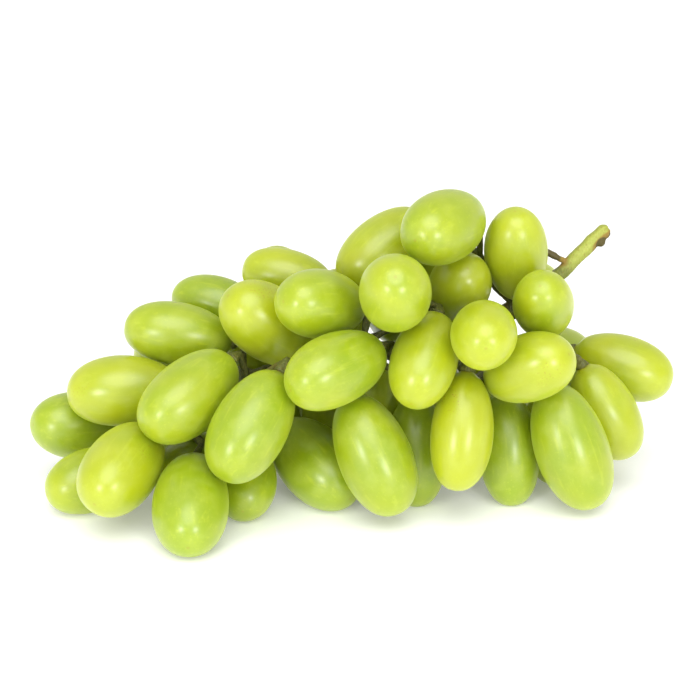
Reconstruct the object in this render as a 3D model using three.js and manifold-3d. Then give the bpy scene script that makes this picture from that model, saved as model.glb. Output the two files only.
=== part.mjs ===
// A bunch of green table grapes lying on a flat surface, in millimetres, +Z up.
//
// +X runs along the bunch from its low tip to the cut end of its stem, -Y is the side whose
// berries reach furthest out, and the origin is the middle of the bunch's footprint, on the
// surface.
//
// The stem is one grown piece: a main axis, side branches that leave it, and one short stalk for
// each berry. The berries are separate solids, held a hair off the stalks that carry them.
// Places are given to about a millimetre. settle() then lets neighbouring berries
// press each other, the stalks and the surface, so that nothing runs into anything else.

import * as THREE from "three";
import { mergeVertices } from "three/addons/utils/BufferGeometryUtils.js";
import Module from "manifold-3d";

// ---- Driving dimensions, in millimetres -------------------------------------------------------

const BERRY_WIDTH = 17.2; // the usual berry, across
const BERRY_LENGTH = 27.4; // the usual berry, from stalk to tip
const BERRY_FULLNESS = 0.06; // how much wider the tip half is than the stalk half
const BERRY_BLUNTNESS = 0.9; // power on the sine outline: 1 is an ellipse, less is blunter
const BERRY_SIDES = 12; // facets around a berry
const BERRY_BANDS = 7; // facets along a berry

const SURFACE = 1.6; // height that the bunch lies at, in the frame of the places below
const FIT_GAP = 0.35; // clear space between a berry and the stem
const TOUCH_GAP = 0.2; // clear space between neighbouring berries
const FOOT_DEPTH = 0.6; // how far the surface flattens a berry that carries the bunch

const AXIS_RADIUS = [1.8, 1.0]; // main axis, at its cut end and at the tip
const AXIS_SIDES = 6;
const BRANCH_RADIUS = [1.5, 1.0]; // side branch, where it leaves the axis and at its end
const BRANCH_SIDES = 5;
const FRAME_STEP = 5; // distance between the points of the axis and of a branch
const BARE_POINTS = 5; // points at the cut end of the axis that carry no stalk

const STALK_RADIUS = 0.75; // berry stalk, along its length
const STALK_SIDES = 5;
const STALK_STEPS = 4; // straight stretches in a stalk
const STALK_REACH = 0.35; // how far a stalk runs straight from its berry, as a share of its length
const STALK_MARGIN = 3; // and the least that it does
const COLLAR_RADIUS = 2.0; // the flared seat under each berry

// ---- Stem layout ------------------------------------------------------------------------------

const AXIS_LINE = [
  [62, 4, 62], [57, 3, 59], [53, 1, 54], [43, 0, 46], [27, -2, 38], [9, -4, 34],
  [-8, -6, 31], [-24, -8, 27], [-38, -10, 21], [-49, -12, 17],
];

// What is left of a stalk that dried and broke off, just below the cut end: it leaves the third
// axis point.
const STUB = { from: 2, to: [46, 0, 58], radius: [0.7, 0.5] };

// The scab of a torn shoot, on the underside of the cut end.
const SCAB = { at: [60, 3, 59.4], radius: 1.2 };

// Each side branch: the axis point that it leaves, and where it ends.
const BRANCHES = {
  crown: { from: 3, to: [31, -3, 57] },
  shoulder_front: { from: 3, to: [39, -13, 46] },
  shoulder_back: { from: 3, to: [40, 11, 42] },
  shoulder_low: { from: 3, to: [54, -3, 32] },
  upper_front: { from: 4, to: [14, -12, 50] },
  upper_back: { from: 4, to: [20, 14, 44] },
  lower_front: { from: 4, to: [29, -10, 28] },
  lower_back: { from: 4, to: [28, 12, 27] },
  middle_front: { from: 5, to: [3, -15, 36] },
  middle_back: { from: 5, to: [6, 11, 32] },
  ridge: { from: 6, to: [-14, -3, 42] },
  middle_low: { from: 6, to: [-6, -8, 21] },
  left_front: { from: 7, to: [-22, -18, 32] },
  left_back: { from: 7, to: [-27, 4, 26] },
  tip_low: { from: 8, to: [-35, -20, 16] },
};

// ---- Berries ----------------------------------------------------------------------------------

// Each berry: its centre, the way its tip points, and its length and width if they aren't usual.
const BERRIES = {
  // the low tip of the bunch
  tip_1: { at: [-65, -8, 16], to: [-8, -5, 2], length: 26, width: 16.5 },
  tip_2: { at: [-60, -24, 8], to: [-8, -5, -1], length: 25, width: 15 },
  tip_3: { at: [-53, -16, 29], to: [-10, -1, -1], length: 27, width: 16.8 },
  tip_4: { at: [-52, -36, 17], to: [-4, -9, -3] },
  tip_5: { at: [-36, -42, 12], to: [0, -9, -3], length: 29.5 },
  tip_6: { at: [-25, -25, 9], to: [0, -9, -2], length: 23, width: 14.5 },
  tip_7: { at: [-36, -16, 12], to: [-3, -4, -5], length: 25, width: 15 },
  // left front
  left_1: { at: [-35, -31, 31], to: [-7, -6, -4], length: 28 },
  left_2: { at: [-24, -37, 29], to: [-5, -5, -7], length: 28 },
  left_3: { at: [-41, -8, 39], to: [-10, -1, 1], length: 26, width: 15 },
  left_4: { at: [-20, -16, 42], to: [-7, -5, 5], length: 27.7 },
  left_5: { at: [-33, 3, 43], to: [-9, 2, 1], length: 22, width: 13 },
  // ridge
  ridge_1: { at: [-15, -2, 51], to: [-10, 1, 2], length: 22, width: 13.5 },
  ridge_2: { at: [-8, -22, 51], to: [-7, -7, 3], length: 25, width: 16 },
  ridge_3: { at: [-5, 7, 41], to: [-3, 0, 8], length: 20, width: 14 },
  // middle front
  front_1: { at: [-3, -33, 38], to: [-8, -6, 0], length: 26.5, width: 16.5 },
  front_2: { at: [14, -28, 41], to: [-1, -8, -6], length: 25, width: 15.5 },
  front_3: { at: [5, -32, 18], to: [4, -3, -9], length: 29.5 },
  front_4: { at: [-8, -20, 11], to: [6, -7, -3], length: 28.5, width: 17.6 },
  front_5: { at: [12, -18, 15], to: [2, -3, -9], length: 27, width: 14.5 },
  front_6: { at: [25, -32, 25], to: [0, -3, -9], length: 27.6, width: 14.6 },
  front_7: { at: [9, -11, 24], to: [2, -6, -7], length: 24, width: 14 },
  // right front
  right_1: { at: [30, -34, 47], to: [0, -9, 2], length: 22, width: 15 },
  right_2: { at: [42, -26, 39], to: [6, -6, 5], length: 24, width: 15.8 },
  right_3: { at: [42.2, -16, 52.2], to: [0, -8, 5], length: 22, width: 14.2 },
  right_4: { at: [65, -4, 27], to: [9, -2, -2], length: 25, width: 15.4 },
  right_5: { at: [53, -22, 18], to: [3, -3, -9], length: 31 },
  right_6: { at: [60, -13, 22], to: [4, -3, -9], length: 25, width: 14.6 },
  right_7: { at: [41, -18, 16], to: [0, -3, -9], length: 27.5, width: 14.4 },
  right_8: { at: [48, -10, 12], to: [2, 1, -8], length: 24, width: 15 },
  // crown
  crown_1: { at: [8, -4, 59], to: [-7, -4, -5], length: 26, width: 16.6 },
  crown_2: { at: [10, -34, 58], to: [0, -8, 6], length: 24, width: 16.4 },
  crown_3: { at: [22, -18, 67], to: [-5, -8, 1], length: 27, width: 16.6 },
  crown_4: { at: [24, -13, 53], to: [0, -7, 7], length: 22, width: 14.8 },
  crown_5: { at: [36.5, -9.5, 55.6], to: [1.5, -3, 9], length: 25, width: 14.8 },
  // under the axis
  under_1: { at: [-8, 2, 15], to: [2, 2, -8], length: 25, width: 15.5 },
  under_2: { at: [12, 3, 14], to: [1, 2, -9], length: 26, width: 15.5 },
  under_3: { at: [32, 0, 14], to: [0, 2, -9], length: 25, width: 15.5 },
  under_4: { at: [-22, -6, 13], to: [-1, 2, -8], length: 23, width: 14.5 },
  // back, low
  back_1: { at: [-53, 8, 11], to: [-7, 6, -2], length: 26, width: 16 },
  back_2: { at: [-32, 10, 10], to: [-3, 9, -2], length: 26, width: 16.5 },
  back_3: { at: [-15, 20, 14], to: [-1, 8, -5] },
  back_4: { at: [3, 24, 14], to: [1, 6, -7] },
  back_5: { at: [21, 22, 15], to: [1, 4, -9] },
  back_6: { at: [39, 17, 15], to: [2, 4, -8] },
  back_7: { at: [57, 5, 14], to: [5, 3, -8], length: 26, width: 16 },
  // back, middle
  back_8: { at: [-42, 6, 26], to: [-8, 5, 2], length: 26, width: 16 },
  back_9: { at: [-24, 17, 28], to: [-4, 8, 1] },
  back_10: { at: [-6, 24, 31], to: [-3, 9, 0] },
  back_11: { at: [14, 30, 32], to: [0, 9, -1] },
  back_12: { at: [28, 29, 29], to: [1, 9, -2] },
  back_13: { at: [51, 15, 23], to: [7, 6, -2], length: 26, width: 16 },
  // back, high
  back_14: { at: [-13, 13, 43], to: [-6, 7, 4], length: 25, width: 15.5 },
  back_15: { at: [7, 17, 46], to: [-2, 8, 5], length: 25, width: 16 },
  back_16: { at: [22, 22, 48], to: [1, 8, 5], length: 25, width: 16 },
  back_17: { at: [47, 19, 40], to: [1, 9, 2], length: 23, width: 13.5 },
  back_18: { at: [23, 9, 56], to: [-2, 5, 8], length: 23, width: 15 },
};

// ---- Berry shape ------------------------------------------------------------------------------

// The outline at a share u of the way from the stalk end (0) to the tip (1): how far along the
// axis from the middle, and the radius there, for a berry one unit long and one unit wide.
function outline(u) {
  const angle = Math.PI * u;
  const along = -0.5 * Math.cos(angle);
  const swell = 1 - BERRY_FULLNESS * Math.cos(angle);
  return [along, 0.5 * Math.sin(angle) ** BERRY_BLUNTNESS * swell];
}

const BALLS = 7; // balls that stand for a berry while it settles
const END_BALL = 0.72; // distance between the two end balls' outer halves, as a share of the width
const OUTLINE_STEP = 1 / 60;

// From a berry's centre to the centre of its first or last ball.
const reachOf = (length, width) => (length - width * END_BALL) / 2;

// Balls that fill the berry, strung along its axis. Each is the largest that fits inside the
// outline at its place, which is a share of the way from the first ball to the last.
function ballsIn(length, width) {
  const reach = reachOf(length, width);
  return Array.from({ length: BALLS }, (_, i) => {
    const share = i / (BALLS - 1);
    const place = reach * (2 * share - 1);
    let radius = Infinity;
    for (let u = 0; u <= 1; u += OUTLINE_STEP) {
      const [along, out] = outline(u);
      radius = Math.min(radius, Math.hypot(along * length - place, out * width));
    }
    return { share, radius };
  });
}

// A berry as a rod from the centre of its first ball, its tail, to the centre of its last.
function rodOf({ at, to, length = BERRY_LENGTH, width = BERRY_WIDTH }) {
  const centre = new THREE.Vector3(...at);
  const way = new THREE.Vector3(...to).normalize();
  const reach = reachOf(length, width);
  const tail = centre.clone().addScaledVector(way, -reach);
  const head = centre.clone().addScaledVector(way, reach);
  return {
    length, width, reach, tail, head,
    tailHome: tail.clone(), headHome: head.clone(),
    balls: ballsIn(length, width),
  };
}

const wayOf = (rod) => rod.head.clone().sub(rod.tail).normalize();
const centreOf = (rod) => rod.head.clone().add(rod.tail).multiplyScalar(0.5);
const stalkEndOf = (rod) => centreOf(rod).addScaledVector(wayOf(rod), -rod.length / 2);
const ballAt = (rod, ball, into) => into.lerpVectors(rod.tail, rod.head, ball.share);

// Moves a rod at a share of its length: its nearer end moves the most.
function shift(rod, share, by, amount) {
  rod.tail.addScaledVector(by, amount * (1 - share));
  rod.head.addScaledVector(by, amount * share);
}

// ---- Settling ---------------------------------------------------------------------------------

const ROUNDS = 300; // rounds of settling, before the stalks grow and again after
const HOLD = 0.03; // how strongly each berry keeps the place chosen for it, per round
const HELD_ROUNDS = 0.7; // the share of the rounds in which it does
const SAG_REACH = 1.5; // a berry this near the surface sinks on to it under the bunch's weight
const SAG = 0.04; // how far it sinks, per round
const STALK_GIVE = 0.6; // how much of the way a stalk gives when a berry presses it
const FAR_APART = 70; // berries further apart than this can't touch
const UP = new THREE.Vector3(0, 0, 1);
const p = new THREE.Vector3();
const q = new THREE.Vector3();

// Pushes two berries apart where their balls meet.
function partBerries(a, b) {
  if (a.tail.distanceTo(b.tail) > FAR_APART) return;
  for (const ballA of a.balls) {
    for (const ballB of b.balls) {
      ballAt(a, ballA, p);
      ballAt(b, ballB, q);
      const gap = p.distanceTo(q) - ballA.radius - ballB.radius - TOUCH_GAP;
      if (gap >= 0) continue;
      q.sub(p).normalize();
      shift(a, ballA.share, q, gap / 2);
      shift(b, ballB.share, q, -gap / 2);
    }
  }
}

// Pushes a berry and a point of the stem apart. The point takes the share `give` of the move.
function partPoint(rod, point, radius, give) {
  for (const ball of rod.balls) {
    ballAt(rod, ball, p);
    const gap = p.distanceTo(point) - ball.radius - radius - FIT_GAP;
    if (gap >= 0) continue;
    p.sub(point).normalize();
    shift(rod, ball.share, p, -gap * (1 - give));
    point.addScaledVector(p, gap * give);
  }
}

// Pushes a berry apart from every stalk. Its own stalk's last points are meant to touch it.
function partStalks(rod, stalks) {
  for (const stalk of stalks) {
    const last = stalk.rod === rod ? -2 : -1;
    for (const point of stalk.points.slice(1, last)) partPoint(rod, point, STALK_RADIUS, STALK_GIVE);
  }
}

// Lifts a berry that is in the surface, and lowers one that is just above it.
function restOnSurface(rod) {
  let lowest = Infinity;
  for (const ball of rod.balls) {
    ballAt(rod, ball, p);
    const above = p.z - ball.radius + FOOT_DEPTH - SURFACE;
    if (above < 0) shift(rod, ball.share, UP, -above);
    lowest = Math.min(lowest, above);
  }
  if (lowest > 0 && lowest < SAG_REACH) shift(rod, 0.5, UP, -2 * SAG);
}

// Gives a rod back its own length, about its middle.
function restoreLength(rod) {
  const centre = centreOf(rod);
  const way = wayOf(rod);
  rod.tail.copy(centre).addScaledVector(way, -rod.reach);
  rod.head.copy(centre).addScaledVector(way, rod.reach);
}

function settle(rods, frame, stalks) {
  for (let round = 0; round < ROUNDS; round++) {
    const hold = round < ROUNDS * HELD_ROUNDS ? HOLD : 0;
    rods.forEach((a, i) => rods.slice(i + 1).forEach((b) => partBerries(a, b)));
    for (const rod of rods) {
      for (const { point, radius } of frame) partPoint(rod, point, radius, 0);
      partStalks(rod, stalks);
      restOnSurface(rod);
      rod.tail.lerp(rod.tailHome, hold);
      rod.head.lerp(rod.headHome, hold);
      restoreLength(rod);
    }
    for (const stalk of stalks) smoothStalk(stalk);
  }
}

// ---- Stem lines -------------------------------------------------------------------------------

// A line's points, evenly spaced, each with its radius.
function taperedLine(curve, [thick, thin]) {
  const count = Math.max(3, Math.round(curve.getLength() / FRAME_STEP));
  return curve.getSpacedPoints(count).map((point, i) => ({
    point,
    radius: THREE.MathUtils.lerp(thick, thin, i / count),
  }));
}

// The axis, and the branches that leave it: each sets off along the axis and bends away.
function axisAndBranches() {
  const axisPoints = AXIS_LINE.map((at) => new THREE.Vector3(...at));
  const axis = taperedLine(new THREE.CatmullRomCurve3(axisPoints), AXIS_RADIUS);
  const branches = Object.values(BRANCHES).map(({ from, to }) => {
    const start = axisPoints[from];
    const end = new THREE.Vector3(...to);
    const along = axisPoints[from + 1].clone().sub(start).normalize();
    const bend = start.clone().addScaledVector(along, start.distanceTo(end) * 0.4);
    return taperedLine(new THREE.QuadraticBezierCurve3(start, bend, end), BRANCH_RADIUS);
  });
  const stub = taperedLine(
    new THREE.LineCurve3(axisPoints[STUB.from], new THREE.Vector3(...STUB.to)),
    STUB.radius,
  );
  return { axis, branches, stub };
}

// How deep a point, as thick as a stalk, lies in the berries other than the stalk's own.
function depthInBerries(point, rods, own) {
  let depth = 0;
  for (const rod of rods) {
    if (rod === own) continue;
    for (const ball of rod.balls) {
      ballAt(rod, ball, p);
      depth = Math.max(depth, ball.radius + STALK_RADIUS - p.distanceTo(point));
    }
  }
  return depth;
}

// The stalk from a point of the axis or a branch to a berry: it arrives along the berry's axis.
function stalkCurve(root, rod) {
  const end = stalkEndOf(rod);
  const reach = Math.max(root.distanceTo(end) * STALK_REACH, STALK_MARGIN);
  const arrive = end.clone().addScaledVector(wayOf(rod), -reach);
  const leave = root.clone().lerp(arrive, 0.3);
  return new THREE.CubicBezierCurve3(root.clone(), leave, arrive, end);
}

const BACKWARD_COST = 12; // a root on the berry's far side costs as much as this much length
const DEPTH_COST = 5; // and each millimetre of another berry in the way, as much as this

// Joins each berry to the point of the axis and branches that is near and clear of the others.
function growStalks(rods, roots) {
  return rods.map((rod) => {
    let best = { cost: Infinity };
    for (const { point } of roots) {
      const points = stalkCurve(point, rod).getPoints(STALK_STEPS);
      const toRoot = point.clone().sub(stalkEndOf(rod));
      const behind = toRoot.clone().normalize().dot(wayOf(rod)) + 0.3;
      let cost = toRoot.length() + BACKWARD_COST * Math.max(0, behind);
      for (const at of points.slice(1, -1)) cost += DEPTH_COST * depthInBerries(at, rods, rod);
      if (cost < best.cost) best = { cost, points };
    }
    return { rod, points: best.points };
  });
}

// Draws a stalk's points into a fair line between its root and its berry.
function smoothStalk({ rod, points }) {
  const last = points.length - 1;
  points[last].copy(stalkEndOf(rod));
  const step = points[0].distanceTo(points[last]) / last;
  points[last - 1].copy(points[last]).addScaledVector(wayOf(rod), -Math.max(step, 2));
  for (let i = 1; i < last - 1; i++) {
    q.addVectors(points[i - 1], points[i + 1]).multiplyScalar(0.5);
    points[i].lerp(q, 0.25);
  }
}

// ---- Solids -----------------------------------------------------------------------------------

const wasm = await Module();
wasm.setup();

function solidOf(geometry) {
  const bare = new THREE.BufferGeometry()
    .setAttribute("position", geometry.getAttribute("position"))
    .setIndex(geometry.index);
  const merged = mergeVertices(bare, 1e-4);
  return new wasm.Manifold(new wasm.Mesh({
    numProp: 3,
    vertProperties: merged.attributes.position.array,
    triVerts: new Uint32Array(merged.index.array),
  }));
}

function geometryOf(solid) {
  const mesh = solid.getMesh();
  return new THREE.BufferGeometry()
    .setAttribute("position", new THREE.BufferAttribute(mesh.vertProperties, 3))
    .setIndex(new THREE.BufferAttribute(mesh.triVerts, 1))
    .toNonIndexed();
}

// A round tube through points, each with its own radius, closed at both ends.
function tube(points, radii, sides) {
  const curve = new THREE.CatmullRomCurve3(points);
  const frames = curve.computeFrenetFrames(points.length - 1);
  const places = [];
  const faces = [];
  points.forEach((point, i) => {
    for (let s = 0; s < sides; s++) {
      const turn = (2 * Math.PI * s) / sides;
      q.copy(point)
        .addScaledVector(frames.normals[i], Math.cos(turn) * radii[i])
        .addScaledVector(frames.binormals[i], Math.sin(turn) * radii[i]);
      places.push(q.x, q.y, q.z);
    }
  });
  const at = (i, s) => i * sides + (s % sides);
  const last = points.length - 1;
  for (let i = 0; i < last; i++) {
    for (let s = 0; s < sides; s++) {
      faces.push(at(i, s), at(i, s + 1), at(i + 1, s + 1));
      faces.push(at(i, s), at(i + 1, s + 1), at(i + 1, s));
    }
  }
  for (let s = 1; s < sides - 1; s++) {
    faces.push(at(0, 0), at(0, s + 1), at(0, s));
    faces.push(at(last, 0), at(last, s), at(last, s + 1));
  }
  return new THREE.BufferGeometry()
    .setAttribute("position", new THREE.BufferAttribute(new Float32Array(places), 3))
    .setIndex(faces);
}

// A berry about its own centre, its tip towards +Y, larger all round by `swell`.
function berryGeometry(rod, swell = 0) {
  const length = rod.length + 2 * swell;
  const width = rod.width + 2 * swell;
  const profile = Array.from({ length: BERRY_BANDS + 1 }, (_, i) => {
    const [along, out] = outline(i / BERRY_BANDS);
    const pole = i === 0 || i === BERRY_BANDS;
    return new THREE.Vector2(pole ? 0 : out * width, along * length);
  });
  return new THREE.LatheGeometry(profile, BERRY_SIDES);
}

// Puts an object where its rod is: its centre on the rod's, its +Y along it.
function place(object, rod) {
  object.position.copy(centreOf(rod));
  object.quaternion.setFromUnitVectors(new THREE.Vector3(0, 1, 0), wayOf(rod));
  object.updateMatrix();
  return object;
}

// Axis, branches and stalks in one, less the room that each berry takes.
function stemSolid({ axis, branches, stub }, stalks, rods) {
  const line = (points, sides) =>
    solidOf(tube(points.map((at) => at.point), points.map((at) => at.radius), sides));
  const scab = new THREE.SphereGeometry(SCAB.radius, 7, 5).translate(...SCAB.at);
  let stem = line(axis, AXIS_SIDES).add(line(stub, STALK_SIDES)).add(solidOf(scab));
  for (const branch of branches) stem = stem.add(line(branch, BRANCH_SIDES));
  for (const { points } of stalks) {
    const radii = points.map((_, i) => (i === points.length - 1 ? COLLAR_RADIUS : STALK_RADIUS));
    stem = stem.add(solidOf(tube(points, radii, STALK_SIDES)));
  }
  for (const rod of rods) {
    const room = place(new THREE.Object3D(), rod).matrix;
    stem = stem.subtract(solidOf(berryGeometry(rod, FIT_GAP).applyMatrix4(room)));
  }
  return stem;
}

// ---- The bunch --------------------------------------------------------------------------------

const skin = new THREE.MeshStandardMaterial({ color: 0xb4cc28, roughness: 0.35, metalness: 0 });
const bark = new THREE.MeshStandardMaterial({ color: 0x9aa23c, roughness: 0.7, metalness: 0 });

// A berry in its place, cut flat where it rests on the surface.
function berryMesh(name, rod) {
  const berry = place(new THREE.Mesh(berryGeometry(rod), skin), rod);
  berry.name = `berry_${name}`;
  const below = new THREE.BoxGeometry(200, 200, 20)
    .translate(0, 0, SURFACE - 10)
    .applyMatrix4(berry.matrix.clone().invert());
  berry.geometry = geometryOf(solidOf(berry.geometry).subtract(solidOf(below)));
  return berry;
}

const lines = axisAndBranches();
const frame = [lines.axis, ...lines.branches].flat();
const rods = Object.values(BERRIES).map(rodOf);
settle(rods, frame, []);
const stalks = growStalks(rods, frame.slice(BARE_POINTS));
settle(rods, frame, stalks);

const pieces = new THREE.Group();
Object.keys(BERRIES).forEach((name, i) => pieces.add(berryMesh(name, rods[i])));
const stem = new THREE.Mesh(geometryOf(stemSolid(lines, stalks, rods)), bark);
stem.name = "stem";
pieces.add(stem);

// The middle of the footprint goes to the origin.
const box = new THREE.Box3().setFromObject(pieces, true);
const middle = box.getCenter(new THREE.Vector3());
pieces.position.set(-middle.x, -middle.y, -box.min.z);

const bunch = new THREE.Group();
bunch.add(pieces);

export default bunch;
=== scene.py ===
"""A bunch of long green table grapes lying on its side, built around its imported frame.

Every berry is a skin worked out from the solid that holds its place, and the stem is the solid
of the stem made round and woody. Lengths are in metres, and Z is up.
"""

import math

import bpy
import numpy as np
from bpy.props import (
    FloatProperty,
    FloatVectorProperty,
    IntProperty,
    PointerProperty,
)
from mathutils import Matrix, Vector


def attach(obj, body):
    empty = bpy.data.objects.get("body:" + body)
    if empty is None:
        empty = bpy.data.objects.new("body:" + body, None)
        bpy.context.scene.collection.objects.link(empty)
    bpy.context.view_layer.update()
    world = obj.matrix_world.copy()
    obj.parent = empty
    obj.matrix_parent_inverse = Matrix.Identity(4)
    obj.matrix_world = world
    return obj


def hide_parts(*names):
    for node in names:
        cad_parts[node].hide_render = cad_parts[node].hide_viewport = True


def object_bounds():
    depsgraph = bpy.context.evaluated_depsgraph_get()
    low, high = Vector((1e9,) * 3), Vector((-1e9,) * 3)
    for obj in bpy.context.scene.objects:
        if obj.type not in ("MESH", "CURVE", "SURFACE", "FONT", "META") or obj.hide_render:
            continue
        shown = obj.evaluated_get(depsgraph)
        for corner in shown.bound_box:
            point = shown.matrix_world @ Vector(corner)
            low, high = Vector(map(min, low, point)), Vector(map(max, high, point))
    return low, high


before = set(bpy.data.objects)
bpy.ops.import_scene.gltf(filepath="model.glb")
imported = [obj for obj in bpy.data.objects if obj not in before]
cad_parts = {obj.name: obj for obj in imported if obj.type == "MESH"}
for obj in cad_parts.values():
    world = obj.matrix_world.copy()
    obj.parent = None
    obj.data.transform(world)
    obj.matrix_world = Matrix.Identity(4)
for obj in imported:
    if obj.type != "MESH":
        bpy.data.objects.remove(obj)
CAD_BOX = [list(corner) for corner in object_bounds()]

bl_info = {
    "name": "Bunch of green grapes",
    "version": (1, 0, 0),
    "blender": (4, 5, 0),
    "location": "3D View > Sidebar > Grapes",
    "description": "Grows the berries and the stem of a bunch of green grapes around its frame",
    "category": "Add Mesh",
}

MM = 0.001
BODY = "root"
BERRY_NODES = sorted(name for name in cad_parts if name.startswith("berry_"))
STEM_NODE = "stem"

# The berry's outline, which its solid follows too.
FULLNESS = 0.06  # how much wider the tip half is than the stalk half
BLUNTNESS = 0.9  # power on the round outline: 1 is an ellipse, less is blunter

# The berry's ends and its foot, in millimetres except where a comment says otherwise.
SEAT_RADIUS = 1.6  # of the raised seat that meets the stalk
GROOVE_RADIUS, GROOVE_WIDTH, GROOVE_DEPTH = 2.7, 0.8, 0.16  # around the seat
HOLLOW_RADIUS = 1.2  # of the hollow at the tip
GRAIN_RADIUS = 0.35  # of the scar's grain in the hollow
GRAIN_HEIGHT = 0.8  # of the grain, as a share of the hollow's depth
FOOT_EDGE = 0.12  # how softly the skin turns into the foot that the surface presses flat
CROWDING = 0.6  # share by which the rings of points draw together at the ends


# ---- Settings -------------------------------------------------------------------------------


def colour(name, description, default):
    return FloatVectorProperty(
        name=name,
        description=description,
        default=default,
        subtype="COLOR",
        size=3,
        min=0.0,
        max=1.0,
    )


def length(name, description, millimetres):
    return FloatProperty(
        name=name,
        description=description,
        default=millimetres * MM,
        min=0.0,
        unit="LENGTH",
        subtype="DISTANCE",
        precision=5,
    )


def share(name, description, default):
    return FloatProperty(
        name=name,
        description=description,
        default=default,
        min=0.0,
        max=1.0,
        subtype="FACTOR",
    )


class BerrySettings(bpy.types.PropertyGroup):
    """Sizes and colours of the berries."""

    rows: IntProperty(
        name="Rows",
        description="Rows of faces from the stalk end to the tip",
        default=54,
        min=12,
    )
    columns: IntProperty(
        name="Columns", description="Faces around a berry", default=72, min=12
    )
    seed: IntProperty(
        name="Seed", description="Changes the small differences between berries", default=11
    )
    swell: share("Unevenness", "How far a berry is from round, as a share of its width", 0.012)
    bend: length("Bend", "How far the middle of a berry bows to one side", 0.25)
    seat: length("Seat", "How far the skin rises to meet its stalk", 0.30)
    scar: length("Tip scar", "Depth of the hollow at the tip", 0.05)
    green: colour("Green", "Skin of the greenest berry", (0.250, 0.345, 0.004))
    yellow: colour("Yellow", "Skin of the ripest berry", (0.385, 0.427, 0.006))
    vein: colour("Vein", "Pale lines under the skin", (0.45, 0.51, 0.025))
    bloom: colour("Bloom", "Wax on the skin", (0.47, 0.53, 0.12))
    russet: colour("Russet", "Scars and freckles", (0.32, 0.20, 0.015))
    depth: length("Clearness", "How far light travels through the flesh", 16.0)


class StemSettings(bpy.types.PropertyGroup):
    """Sizes and colours of the stem."""

    grain: length("Grain", "Edge of the cells that the stem is remade from", 0.28)
    relief: length("Relief", "Height of the lumps and ridges of the bark", 0.14)
    fill: length("Fill", "How much the bark stands out all round", 0.18)
    seed: IntProperty(name="Seed", description="Changes the lumps", default=5)
    green: colour("Green", "Bark at the cut end", (0.33, 0.37, 0.045))
    # Painted shade: the bark is drawn much darker inside the bunch, where the berries around it
    # shade it.
    shaded_olive: colour("Olive", "Bark inside the bunch", (0.08, 0.09, 0.012))
    fibre: colour("Fibre", "Pale fibres in the bark", (0.72, 0.74, 0.22))
    wood: colour("Wood", "Dry bark at the ends and joints", (0.27, 0.175, 0.03))
    scab: colour("Scab", "The dark scab by the cut end", (0.09, 0.07, 0.015))


class StageSettings(bpy.types.PropertyGroup):
    """The floor, the light and the camera."""

    floor_size: length("Floor", "Edge of the floor", 8000.0)
    floor: colour("Floor colour", "The floor", (0.92, 0.92, 0.92))
    cloud: colour("Floor clouds", "Faint clouds in the floor", (0.82, 0.82, 0.80))
    glow: FloatProperty(
        name="Floor light",
        description="Brightness of the light under the floor",
        default=0.18,
        min=0.0,
    )
    air: FloatProperty(
        name="Room light", description="Brightness of the pale room", default=0.66, min=0.0
    )
    sky: FloatProperty(
        name="Panel", description="Strength of the large panel overhead", default=2.0, min=0.0
    )
    lamp: FloatProperty(
        name="Lamps", description="Power of each of the two front lamps", default=1.9, min=0.0
    )
    aim: FloatVectorProperty(
        name="Aim",
        description="Where the camera looks, from the middle of the bunch's box",
        default=(-0.77 * MM, 6.21 * MM, -7.05 * MM),
        subtype="TRANSLATION",
        unit="LENGTH",
        size=3,
    )
    distance: length("Camera distance", "From the camera to the bunch", 474.0)
    elevation: FloatProperty(
        name="Camera height",
        description="How high the camera stands above the bunch",
        default=math.radians(20.0),
        subtype="ANGLE",
        unit="ROTATION",
    )
    lens: FloatProperty(name="Lens", description="Focal length", default=100.0, unit="CAMERA")


# ---- Shaders --------------------------------------------------------------------------------


class Value:
    """A number or colour on its way through a finish. Arithmetic on it adds Math nodes."""

    def __init__(self, finish, socket):
        self.finish = finish
        self.socket = socket

    def math(self, operation, *others):
        return self.finish.node(
            "ShaderNodeMath", {"operation": operation}, dict(enumerate((self, *others)))
        )

    def __add__(self, other):
        return self.math("ADD", other)

    def __radd__(self, other):
        return self.math("ADD", other)

    def __sub__(self, other):
        return self.math("SUBTRACT", other)

    def __rsub__(self, other):
        return self.math("MULTIPLY_ADD", -1.0, other)

    def __mul__(self, other):
        return self.math("MULTIPLY", other)

    def __rmul__(self, other):
        return self.math("MULTIPLY", other)

    def ramp(self, low, high):
        """0 below `low`, 1 above `high`, and smooth in between. It falls when low is the larger."""
        return self.finish.node(
            "ShaderNodeMapRange",
            {"interpolation_type": "SMOOTHSTEP"},
            {"Value": self, "From Min": low, "From Max": high},
        )


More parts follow.
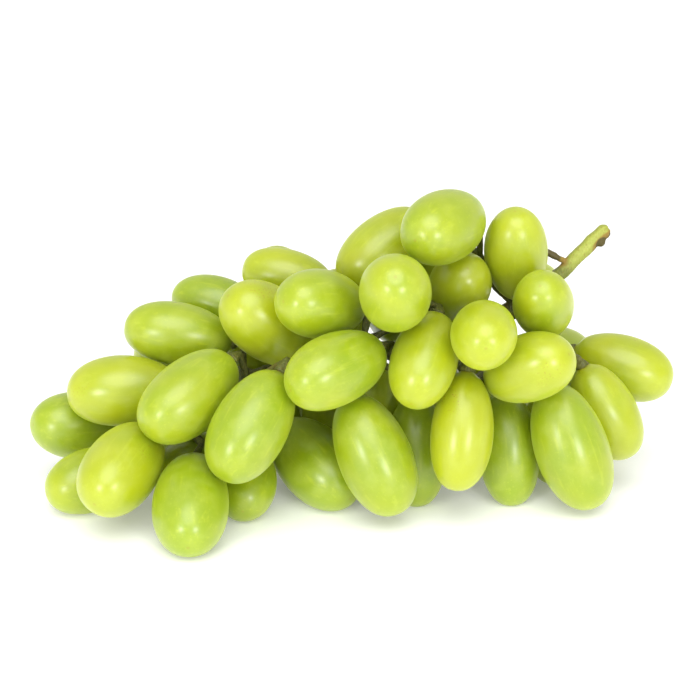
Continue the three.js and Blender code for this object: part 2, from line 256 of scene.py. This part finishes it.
class Finish:
    """A material that is built node by node."""

    def __init__(self, name):
        self.material = bpy.data.materials.new(name)
        self.material.use_nodes = True
        self.tree = self.material.node_tree
        self.tree.nodes.clear()

    def node(self, kind, settings=(), inputs=(), output=0):
        """A new node. `settings` are its own values and `inputs` its sockets', by name or number."""
        made = self.tree.nodes.new(kind)
        for name, value in dict(settings).items():
            setattr(made, name, value)
        for name, value in dict(inputs).items():
            socket = made.inputs[name]
            if isinstance(value, Value):
                self.tree.links.new(value.socket, socket)
            elif isinstance(value, tuple) and len(value) == 3 and socket.type == "RGBA":
                socket.default_value = (*value, 1.0)
            else:
                socket.default_value = value
        return Value(self, made.outputs[output]) if made.outputs else None

    def place(self):
        return self.node("ShaderNodeTexCoord", output="Object")

    def attribute(self, name, output="Fac"):
        return self.node("ShaderNodeAttribute", {"attribute_name": name}, output=output)

    def stretched(self, vector, by):
        """The vector with each of its three numbers times its own of `by`."""
        return self.node("ShaderNodeVectorMath", {"operation": "MULTIPLY"}, {0: vector, 1: by})

    def noise(self, vector, scale, detail, roughness=0.5):
        return self.node(
            "ShaderNodeTexNoise",
            inputs={"Vector": vector, "Scale": scale, "Detail": detail, "Roughness": roughness},
        )

    def spots(self, vector, scale):
        """Distance to the nearest of many scattered points, in cells."""
        return self.node("ShaderNodeTexVoronoi", inputs={"Vector": vector, "Scale": scale})

    def mix(self, amount, first, second):
        """A colour that goes from the first to the second."""
        return self.node(
            "ShaderNodeMix", {"data_type": "RGBA"}, {0: amount, 6: first, 7: second}, output=2
        )

    def bump(self, height, distance):
        inputs = {"Height": height, "Distance": distance, "Strength": 1.0}
        return self.node("ShaderNodeBump", inputs=inputs)

    def surface(self, **inputs):
        """Ends the finish in a Principled BSDF. Its sockets' names have _ for a space."""
        named = {name.replace("_", " "): value for name, value in inputs.items()}
        shader = self.node("ShaderNodeBsdfPrincipled", inputs=named)
        self.node("ShaderNodeOutputMaterial", inputs={"Surface": shader})
        return self.material


def grape_skin(look):
    """Clear yellow-green skin over flesh that light passes through, with veins, wax and freckles."""
    finish = Finish("grape_skin")
    place = finish.place()
    own = finish.attribute("own_place", "Vector")
    ripe = finish.attribute("ripeness")
    along = finish.node("ShaderNodeSeparateXYZ", inputs={0: own}, output="Z")

    mottle = finish.noise(place, 110.0, 3.0)
    streaks = finish.noise(finish.stretched(own, (7.0, 7.0, 0.9)), 1.0, 4.0, 0.6)
    fine = finish.noise(place, 1400.0, 2.0)
    pores = finish.spots(place, 900.0)
    wax = finish.noise(place, 260.0, 4.0, 0.65)

    tint = (ripe + (mottle - 0.5) * 0.9 + along * 0.10).ramp(0.0, 1.0)
    skin = finish.mix(tint, tuple(look.green), tuple(look.yellow))
    veins = streaks.ramp(0.54, 0.70) * 0.35
    skin = finish.mix(veins, skin, tuple(look.vein))
    dots = pores.ramp(0.22, 0.08) * 0.30
    skin = finish.mix(dots, skin, tuple(look.vein))
    film = wax.ramp(0.42, 0.68)
    skin = finish.mix(film * 0.22, skin, tuple(look.bloom))

    freckled = finish.noise(place, 70.0, 1.0).ramp(0.60, 0.72) * ripe.ramp(0.45, 0.9)
    freckles = finish.spots(place, 1500.0).ramp(0.30, 0.16) * freckled
    ring = along.ramp(-0.965, -0.99) * 0.6
    scar = along.ramp(0.999, 0.9999) * 0.3
    brown = freckles.math("MAXIMUM", ring).math("MAXIMUM", scar)
    skin = finish.mix(brown, skin, tuple(look.russet))

    height = fine * 0.35 + wax * 0.4 + veins * 0.5
    return finish.surface(
        Base_Color=skin,
        Roughness=0.38 + film * 0.12 + brown * 0.2,
        Normal=finish.bump(height, 0.035 * MM),
        IOR=1.42,
        Subsurface_Weight=1.0,
        Subsurface_Radius=(1.0, 1.0, 0.15),
        Subsurface_Scale=look.depth,
        Coat_Weight=0.85 - film * 0.25,
        Coat_Roughness=0.30,
        Coat_IOR=1.5,
        Sheen_Weight=0.22,
        Sheen_Roughness=0.5,
        Sheen_Tint=(0.80, 1.0, 0.10),
    )


def stem_bark(look):
    """Green bark that turns a dark yellowish green inside the bunch, which is painted shade, and
    brown and dry at the ends and joints.
    """
    finish = Finish("stem_bark")
    place = finish.place()
    inside = finish.attribute("inside")
    dry = finish.attribute("dry")
    scabbed = finish.attribute("scabbed")

    blotch = finish.noise(place, 320.0, 4.0, 0.6)
    fibre = finish.noise(finish.stretched(place, (2600.0, 2600.0, 700.0)), 1.0, 3.0)
    corky = finish.spots(place, 1300.0).ramp(0.34, 0.14)

    # Painted shade: the bark darkens inside the bunch, by the inside mask.
    bark = finish.mix(
        (inside + (blotch - 0.5) * 0.7).ramp(0.1, 0.9), tuple(look.green), tuple(look.shaded_olive)
    )
    bark = finish.mix((fibre - 0.4) * 0.5, bark, tuple(look.fibre))
    worn = (dry + (blotch - 0.5) * 0.6).ramp(0.25, 0.75)
    bark = finish.mix(worn.math("MAXIMUM", corky * 0.45), bark, tuple(look.wood))
    bark = finish.mix((scabbed + (blotch - 0.5) * 0.5).ramp(0.3, 0.6), bark, tuple(look.scab))
    return finish.surface(
        Base_Color=bark,
        Roughness=0.48 + worn * 0.25 + fibre * 0.1,
        Normal=finish.bump(fibre * 0.6 + corky * 0.5 + blotch * 0.4, 0.12 * MM),
        Subsurface_Weight=0.12,
        Subsurface_Radius=(1.0, 0.8, 0.3),
        Subsurface_Scale=0.8 * MM,
    )


def floor_finish(look):
    """Smooth matt white board with a very faint tooth, lit a little from beneath."""
    finish = Finish("floor_board")
    tooth = finish.noise(finish.place(), 900.0, 3.0)
    cloud = finish.noise(finish.place(), 2.5, 2.0)
    board = finish.mix(cloud * 0.08, tuple(look.floor), tuple(look.cloud))
    return finish.surface(
        Base_Color=board,
        Roughness=0.55 + tooth * 0.1,
        Normal=finish.bump(tooth, 0.01 * MM),
        Specular_IOR_Level=0.25,
        Emission_Color=(1.0, 1.0, 1.0),
        Emission_Strength=look.glow,
    )


# ---- Shapes ---------------------------------------------------------------------------------


def mesh_piece(name, points, faces, finish):
    """A smooth-shaded mesh at the origin, with its place in its points."""
    mesh = bpy.data.meshes.new(name)
    mesh.from_pydata(points.tolist(), [], faces)
    mesh.polygons.foreach_set("use_smooth", np.ones(len(mesh.polygons), bool))
    mesh.materials.append(finish)
    mesh.update()
    piece = bpy.data.objects.new(name, mesh)
    bpy.context.scene.collection.objects.link(piece)
    return piece


def store(mesh, name, values, kind="FLOAT"):
    """Keeps one value, or one vector, for each of the mesh's points."""
    key = {"FLOAT": "value", "FLOAT_VECTOR": "vector"}[kind]
    layer = mesh.attributes.new(name, kind, "POINT")
    layer.data.foreach_set(key, np.asarray(values, np.float32).ravel())


def vectors(items, name):
    """One vector for each item of a mesh's list, as rows."""
    flat = np.empty(len(items) * 3)
    items.foreach_get(name, flat)
    return flat.reshape(-1, 3)


def closed_faces(rows, columns):
    """Faces of a closed skin: rings of points from pole to pole, then the first and last pole.
    Each quad joins a ring to the next, and a fan of triangles joins each end ring to its pole."""
    ring = np.arange(rows * columns).reshape(rows, columns)
    after = np.roll(ring, -1, axis=1)
    quads = np.stack([ring[:-1], after[:-1], after[1:], ring[1:]], axis=-1).reshape(-1, 4)
    first = np.full(columns, rows * columns)
    fans = [
        np.stack([first, after[0], ring[0]], axis=-1),
        np.stack([first + 1, ring[-1], after[-1]], axis=-1),
    ]
    return quads.tolist() + np.concatenate(fans).tolist()


def outline(way):
    """How far out a berry's skin lies, as a share of its width, at `way` from -1 at the stalk
    end to 1 at the tip: half a circle's height to the power of BLUNTNESS, a little more
    towards the tip."""
    return 0.5 * np.clip(1 - way**2, 0, 1) ** (BLUNTNESS / 2) * (1 + FULLNESS * way)


def berry_misfit(guess, corners):
    """How far each corner of a solid is from the skin of a guessed berry: the outline's formula
    as a sum that is one on the skin, less one."""
    centre, axis, long, wide = guess[:3], guess[3:6], guess[6], guess[7]
    axis = axis / np.linalg.norm(axis)
    from_centre = corners - centre
    way = from_centre @ axis
    out = np.linalg.norm(from_centre - np.outer(way, axis), axis=1)
    way = 2 * way / long
    return (2 * out / wide / (1 + FULLNESS * way)) ** (2 / BLUNTNESS) + way**2 - 1


def solve_berry(guess, corners):
    """The guess moved to where the misfits are least, by repeated least squares on their slopes."""
    step, rounds = 1e-7, 25
    for _ in range(rounds):
        misfit = berry_misfit(guess, corners)
        slopes = [
            (berry_misfit(guess + nudge, corners) - misfit) / step
            for nudge in np.eye(len(guess)) * step
        ]
        guess = guess - np.linalg.lstsq(np.array(slopes).T, misfit, rcond=1e-9)[0]
    return guess, float(np.sum(berry_misfit(guess, corners) ** 2))


def corners_of(node):
    """The different points of a CAD node's mesh."""
    places = vectors(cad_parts[node].data.vertices, "co")
    return np.unique(places.round(7), axis=0)


def berry_of(node):
    """Centre, axis towards the tip, length and width of the berry that a solid stands for.
    The solid's flat foot is left out, and of the two ways round, the better fit is taken."""
    corners = corners_of(node)
    corners = corners[corners[:, 2] > 0.01 * MM]
    centre = corners.mean(axis=0)
    spread = np.linalg.svd(corners - centre, full_matrices=False)[2]
    way = (corners - centre) @ spread[0]
    across = np.linalg.norm(corners - centre - np.outer(way, spread[0]), axis=1)
    size = [np.ptp(way), 2 * across.max()]
    tries = [
        solve_berry(np.concatenate([centre, axis, size]), corners)
        for axis in (spread[0], -spread[0])
    ]
    best, _ = min(tries, key=lambda found: found[1])
    return best[:3], best[3:6] / np.linalg.norm(best[3:6]), best[6], best[7]


def berry_skin(centre, axis, long, wide, look, chance):
    """Points of a berry's skin and their places in the berry.

    A ring of points at each of `rows` stations runs from the stalk end to the tip, closer
    together near the poles, at minus the cosine of the station's angle along and at the outline
    out. Around a ring the width swells by two low waves. The middle bows to one side by the
    square of the way along. The stalk end rises in a flat-topped seat inside a shallow groove,
    and the tip sinks in a small hollow with a grain of a scar in it."""
    turn, bow, wave, second = chance.uniform(0, 2 * np.pi, 4)
    uneven = look.swell * chance.uniform(0.6, 1.4, 2)
    station = np.linspace(0, 1, look.rows + 2)[1:-1]
    station = station - CROWDING * np.sin(2 * np.pi * station) / (2 * np.pi)
    way = np.concatenate([-np.cos(np.pi * station), [-1.0, 1.0]])
    around = turn + 2 * np.pi * np.arange(look.columns) / look.columns

    out = outline(way) * wide
    swell = 1 + uneven[0] * np.cos(2 * around - wave) + uneven[1] * np.outer(
        way, np.cos(3 * around - second)
    )
    out = out[:, None] * swell
    rim = out / MM
    groove = GROOVE_DEPTH * MM * np.exp(-(((rim - GROOVE_RADIUS) / GROOVE_WIDTH) ** 2))
    seat = look.seat * np.exp(-((rim / SEAT_RADIUS) ** 4)) - groove
    grain = GRAIN_HEIGHT * np.exp(-((rim / GRAIN_RADIUS) ** 2))
    hollow = look.scar * (grain - np.exp(-((rim / HOLLOW_RADIUS) ** 2)))
    end = np.where(way[:, None] < 0, -seat, hollow)
    along = way[:, None] * long / 2 + end

    side = np.cross(axis, (0.0, 0.0, 1.0))
    side = side / np.linalg.norm(side)
    other = np.cross(axis, side)
    bowed = look.bend * (way[:, None] ** 2 - 0.4)
    x = out * np.cos(around) + bowed * np.cos(bow)
    y = out * np.sin(around) + bowed * np.sin(bow)
    points = centre + x[..., None] * side + y[..., None] * other + along[..., None] * axis

    # The surface that the bunch lies on presses a foot flat, with a soft edge.
    soft = FOOT_EDGE * MM
    points[..., 2] = 0.5 * (points[..., 2] + np.sqrt(points[..., 2] ** 2 + soft**2))

    own = np.stack([x / wide * 2, y / wide * 2, way[:, None] + 0 * x], axis=-1)
    return tuple(
        np.concatenate([grid[:-2].reshape(-1, 3), grid[-2:, 0]]) for grid in (points, own)
    )


# The berries that stand out from the rest, in groups: how ripe each group is, from 0, the greenest,
# to 1, the ripest.
GREEN, RIPE, RIPEST = 0.12, 0.7, 1.0
STANDING_OUT = {
    GREEN: ("tip_1", "tip_5", "tip_6", "left_5", "front_4", "front_5", "right_7", "under_2"),
    RIPE: (
        "tip_3",
        "tip_4",
        "left_4",
        "ridge_1",
        "crown_1",
        # crown_4 is made riper, and so paler, partly as painted light: it lies in the shade under
        # the berries above it.
        "crown_4",
        "crown_5",
        "right_1",
        "right_2",
        "right_4",
        "right_6",
        "front_2",
    ),
    RIPEST: ("front_6",),
}


def ripeness(name, usual):
    """How ripe a berry is: as its group is, or as usual where it is in none."""
    for level, berries in STANDING_OUT.items():
        if name in berries:
            return level
    return usual


def grow_berries(look):
    """Makes one piece for each berry, in the place of its solid."""
    finish = grape_skin(look)
    faces = closed_faces(look.rows, look.columns)
    chance = np.random.default_rng(look.seed)
    for node in BERRY_NODES:
        name = node.removeprefix("berry_")
        centre, axis, long, wide = berry_of(node)
        points, own = berry_skin(centre, axis, long, wide, look, chance)
        piece = mesh_piece(f"grape_{name}", points, faces, finish)
        usual = chance.uniform(0.25, 0.6)
        offset = chance.uniform(-20, 20, 3) * (1, 1, 0)
        store(piece.data, "own_place", own + offset, "FLOAT_VECTOR")
        store(piece.data, "ripeness", np.full(len(points), ripeness(name, usual)))
        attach(piece, BODY)
        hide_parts(node)


# ---- Stem -----------------------------------------------------------------------------------


def lattice_noise(points, cell, chance):
    """Smooth random heights from -1 to 1: one at each corner of a cubic lattice, blended inside
    a cell by the three smoothed shares of the way across it."""
    size = 24
    heights = chance.uniform(-1, 1, (size, size, size))
    scaled = points / cell
    low = np.floor(scaled).astype(int)
    part = scaled - low
    part = part * part * (3 - 2 * part)
    total = np.zeros(len(points))
    for corner in np.ndindex(2, 2, 2):
        weight = np.prod(np.where(corner, part, 1 - part), axis=1)
        at = (low + corner) % size
        total += weight * heights[at[:, 0], at[:, 1], at[:, 2]]
    return total


# The stem's landmarks: the way that the bare end points, and, in millimetres from the middle of
# the cut, the scab of a torn shoot, and a broken stalk's root with the way from there to its end.
HANDLE = (5, 1, 3)
SCAB = (-2, -1, -2.8)
STUB = ((-9, -3, -8), (-7, -1, 4))
LIP = (0.9, -0.6, -1.3)  # the dark edge of the cut, from the same middle
UNDERSIDE = (0.6, -0.3, -0.74)  # the way that the bare end's browned side faces
BEND = 5.9  # distance from the cut to the bend of the bare end
EASE = 0.7  # how far the bend is eased at its middle
EASE_WAY = (0.68, -0.35, -0.65)  # and the way that it is
SMOOTHING = 12  # rounds of smoothing after the stem is remade


def remade(node, cell):
    """A copy of a CAD node with its corners joined, remade from small even cells and smoothed."""
    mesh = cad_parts[node].data.copy()
    piece = bpy.data.objects.new("bunch_stem", mesh)
    bpy.context.scene.collection.objects.link(piece)
    piece.modifiers.new("joined", "WELD").merge_threshold = 0.005 * MM
    cells = piece.modifiers.new("cells", "REMESH")
    cells.mode = "VOXEL"
    cells.voxel_size = cell
    even = piece.modifiers.new("even", "SMOOTH")
    even.factor = 0.5
    even.iterations = SMOOTHING
    evaluated = piece.evaluated_get(bpy.context.evaluated_depsgraph_get())
    final = bpy.data.meshes.new_from_object(evaluated)
    piece.modifiers.clear()
    piece.data = final
    bpy.data.meshes.remove(mesh)
    return piece


def off(points, place):
    """How far each point is from a place, in millimetres."""
    return np.linalg.norm(points - place, axis=1) / MM


def grow_stem(look):
    """Makes the stem: the solid made round, with lumps and lengthwise ridges pressed into it."""
    piece = remade(STEM_NODE, look.grain)
    mesh = piece.data
    points = vectors(mesh.vertices, "co")
    normals = vectors(mesh.vertex_normals, "vector")

    chance = np.random.default_rng(look.seed)
    handle = np.array(HANDLE) / np.linalg.norm(HANDLE)
    along = points @ handle
    cut_end = points[along > along.max() - 0.4 * MM].mean(axis=0)
    drawn_out = points - 0.82 * np.outer(along, handle)
    ridges = lattice_noise(drawn_out, 0.9 * MM, chance)
    lumps = lattice_noise(points, 2.6 * MM, chance)
    pimples = lattice_noise(points, 0.7 * MM, chance)
    rise = look.fill + look.relief * (0.7 * ridges + 0.6 * lumps + 0.25 * pimples)

    reach = off(points, cut_end)
    underside = np.clip(normals @ UNDERSIDE, 0, 1)
    scab = off(points, cut_end + np.array(SCAB) * MM)
    root, twig = np.array(STUB) * MM
    way = np.clip((points - cut_end - root) @ twig / (twig @ twig), 0, 1)
    stub = off(points, cut_end + root + np.outer(way, twig))
    on_stub = np.exp(-((stub / 1.1) ** 2)) * np.clip(way * 4 - 1, 0, 1)
    rise = rise + 0.25 * MM * on_stub
    points = points + normals * rise[:, None]

    # The cut end is rounded off, and the bend below it is eased out.
    beside = points - cut_end
    beside = beside - np.outer(beside @ handle, handle)
    from_cut = (along.max() - along) / MM
    rounded = 0.35 * np.clip(1 - from_cut / 1.4, 0, 1) ** 2 * (reach < 4)
    ease = EASE * MM * np.exp(-(((reach - BEND) / 3.5) ** 2))
    points = points - beside * rounded[:, None] + np.outer(ease, EASE_WAY)

    # How deep inside the bunch a point lies: the mask of the painted shade that darkens the bark
    # there, and which also browns the bark a little more there.
    inside = np.clip((reach - 9) / 12, 0, 1)
    worn = 0.5 + 0.5 * lattice_noise(points, 6 * MM, chance)
    base = off(points, cut_end + root + 0.25 * twig)
    dry = (0.35 + 0.90 * underside) * np.exp(-((reach / 6.5) ** 4))
    dry = dry + np.exp(-((base / 1.8) ** 2)) + 0.45 * inside * worn
    lip = off(points, cut_end + np.array(LIP) * MM)
    scabbed = on_stub + np.exp(-((scab / 1.9) ** 4)) + np.exp(-((lip / 1.2) ** 2))
    mesh.vertices.foreach_set("co", points.ravel())
    mesh.polygons.foreach_set("use_smooth", np.ones(len(mesh.polygons), bool))
    store(mesh, "inside", inside)
    store(mesh, "dry", dry)
    store(mesh, "scabbed", scabbed)
    mesh.materials.clear()
    mesh.materials.append(stem_bark(look))
    mesh.update()
    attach(piece, BODY)
    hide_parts(STEM_NODE)


# ---- Stage ----------------------------------------------------------------------------------


def toward(azimuth, elevation):
    """The unit vector to a place seen from the bunch: azimuth 0 is the front, and 90 the right."""
    return np.array(
        (
            math.sin(azimuth) * math.cos(elevation),
            -math.cos(azimuth) * math.cos(elevation),
            math.sin(elevation),
        )
    )


def turned(direction):
    """The turn that points a lamp's or a camera's own -Z along a direction, with its +Y up."""
    return Vector(direction).to_track_quat("-Z", "Y")


def stand(name, data, target, way, distance):
    """A lamp or a camera that stands that way from the target, at a distance, and looks at it."""
    thing = bpy.data.objects.new(name, data)
    thing.location = target + way * distance
    thing.rotation_mode = "QUATERNION"
    thing.rotation_quaternion = turned(-way)
    bpy.context.scene.collection.objects.link(thing)
    return thing


def far_panel(name, target, azimuth, elevation, spread, strength):
    """A large soft panel so far off that it lights the floor evenly, as wide as `spread` degrees."""
    data = bpy.data.lights.new(name, "SUN")
    data.angle = math.radians(spread)
    data.energy = strength
    return stand(name, data, target, toward(math.radians(azimuth), math.radians(elevation)), 1.0)


def soft_lamp(name, target, azimuth, elevation, distance, size, power):
    """A rectangular soft lamp that lights the bunch and stays out of the camera's sight."""
    data = bpy.data.lights.new(name, "AREA")
    data.shape = "RECTANGLE"
    data.size, data.size_y = size
    data.energy = power
    way = toward(math.radians(azimuth), math.radians(elevation))
    lamp = stand(name, data, target, way, distance)
    lamp.visible_camera = False
    return lamp


def lay_floor(look):
    """A square grid of points, a hair under the bunch, in faces of four."""
    count = 9
    spans = np.linspace(-0.5, 0.5, count) * look.floor_size
    across, back = np.meshgrid(spans, spans)
    level = np.full_like(across, -0.02 * MM)
    points = np.stack([across, back, level], axis=-1).reshape(-1, 3)
    ring = np.arange(count * count).reshape(count, count)
    faces = np.stack([ring[:-1, :-1], ring[:-1, 1:], ring[1:, 1:], ring[1:, :-1]], axis=-1)
    floor = mesh_piece("floor", points, faces.reshape(-1, 4).tolist(), floor_finish(look))


# The panel: its height in degrees above the bunch, and the spread of its light.
PANEL_HEIGHT, PANEL_SPREAD = 56, 48
# The front lamps: how far each is turned to the side and how high it stands, in degrees, and, in
# metres, how far it is and how large.
LAMP_TURNS = {"lamp_left": -30, "lamp_right": 25}
LAMP_HEIGHT = 12
LAMP_DISTANCE = 0.8
LAMP_SIZE = (0.13, 0.14)


def set_stage(look):
    """The board underneath, the pale room, the lights and the camera."""
    lay_floor(look)
    scene = bpy.context.scene
    world = bpy.data.worlds.new("pale_room")
    world.use_nodes = True
    air = world.node_tree.nodes["Background"]
    air.inputs["Color"].default_value = (1.0, 1.0, 1.0, 1.0)
    air.inputs["Strength"].default_value = look.air
    scene.world = world
    scene.view_settings.view_transform = "Standard"

    low, high = np.array(CAD_BOX)
    middle = (low + high) / 2
    target = middle + np.array(look.aim)
    far_panel("panel", target, 0, PANEL_HEIGHT, PANEL_SPREAD, look.sky)
    for name, turn in LAMP_TURNS.items():
        soft_lamp(name, target, turn, LAMP_HEIGHT, LAMP_DISTANCE, LAMP_SIZE, look.lamp)

    lens = bpy.data.cameras.new("camera")
    lens.lens = look.lens
    lens.sensor_width = 36.0
    lens.clip_start = 0.01
    lens.clip_end = 50.0
    scene.camera = stand("camera", lens, target, toward(0.0, look.elevation), look.distance)


# ---- The add-on -----------------------------------------------------------------------------


class GRAPES_OT_berries(bpy.types.Operator):
    """Grow every berry of the bunch in the place of its solid"""

    bl_idname = "grapes.berries"
    bl_label = "Grow the berries"

    def execute(self, context):
        grow_berries(context.scene.grape_berries)
        return {"FINISHED"}


class GRAPES_OT_stem(bpy.types.Operator):
    """Grow the stem, with its side branches and the stalk of every berry"""

    bl_idname = "grapes.stem"
    bl_label = "Grow the stem"

    def execute(self, context):
        grow_stem(context.scene.grape_stem)
        return {"FINISHED"}


class GRAPES_OT_stage(bpy.types.Operator):
    """Set the floor, the lights and the camera"""

    bl_idname = "grapes.stage"
    bl_label = "Set the stage"

    def execute(self, context):
        set_stage(context.scene.grape_stage)
        return {"FINISHED"}


class GRAPES_PT_bunch(bpy.types.Panel):
    """Lists the settings of the bunch and what makes its pieces"""

    bl_idname = "GRAPES_PT_bunch"
    bl_label = "Bunch of grapes"
    bl_space_type = "VIEW_3D"
    bl_region_type = "UI"
    bl_category = "Grapes"

    def draw(self, context):
        scene = context.scene
        for settings, operator in (
            (scene.grape_stage, GRAPES_OT_stage),
            (scene.grape_stem, GRAPES_OT_stem),
            (scene.grape_berries, GRAPES_OT_berries),
        ):
            box = self.layout.box()
            for name in settings.__annotations__:
                box.prop(settings, name)
            box.operator(operator.bl_idname)


CLASSES = (
    BerrySettings,
    StemSettings,
    StageSettings,
    GRAPES_OT_berries,
    GRAPES_OT_stem,
    GRAPES_OT_stage,
    GRAPES_PT_bunch,
)


def register():
    for made in CLASSES:
        bpy.utils.register_class(made)
    bpy.types.Scene.grape_berries = PointerProperty(type=BerrySettings)
    bpy.types.Scene.grape_stem = PointerProperty(type=StemSettings)
    bpy.types.Scene.grape_stage = PointerProperty(type=StageSettings)


def unregister():
    del bpy.types.Scene.grape_stage
    del bpy.types.Scene.grape_stem
    del bpy.types.Scene.grape_berries
    for made in reversed(CLASSES):
        bpy.utils.unregister_class(made)


def main():
    register()
    bpy.ops.grapes.stage()
    bpy.ops.grapes.stem()
    bpy.ops.grapes.berries()


if __name__ == "__main__":
    main()
